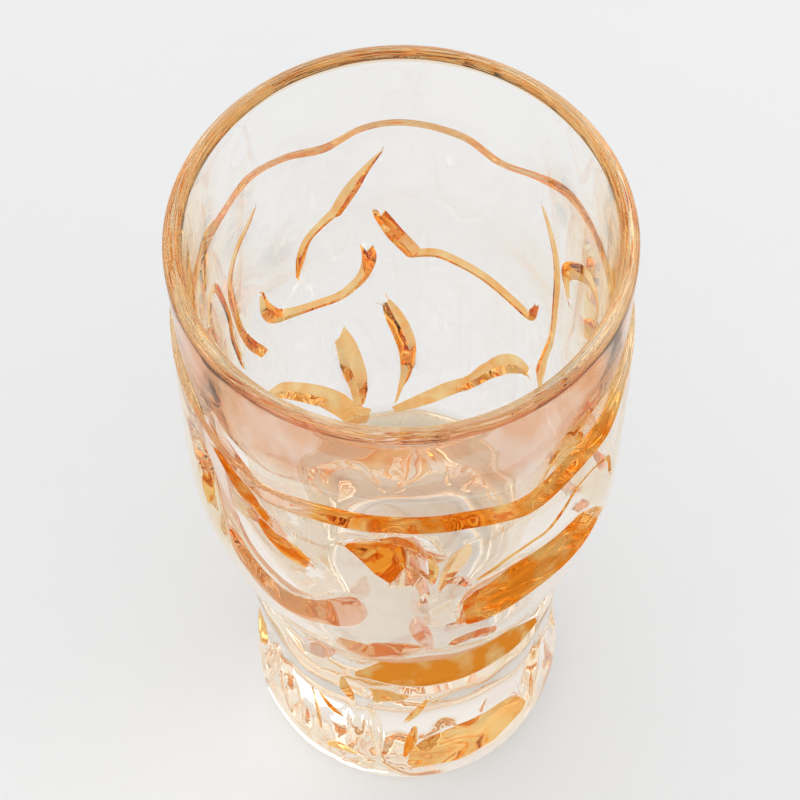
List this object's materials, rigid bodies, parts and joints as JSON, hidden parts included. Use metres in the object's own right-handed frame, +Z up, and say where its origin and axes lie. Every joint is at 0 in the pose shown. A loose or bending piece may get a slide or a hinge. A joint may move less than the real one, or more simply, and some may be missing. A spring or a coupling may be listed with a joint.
{
  "type": "shot glass",
  "caption": "Tall pressed shot glass with an amber lustre, a set-in band under the lip, carved curls on the bowl and a notched solid foot.",
  "frame": {"origin": "middle of the flat underside, which is the face it stands on", "axes": "+Z up along the glass to its mouth, -Y towards the front of the carved relief"},
  "size_m": [0.0406, 0.0419, 0.08],
  "materials": {
    "amber_glass": "clear pressed glass with a thin amber lustre on the outside, deepest on the steps of the relief and on the lip"
  },
  "bodies": {
    "root": {"glass": "amber_glass"}
  },
  "joints": []
}
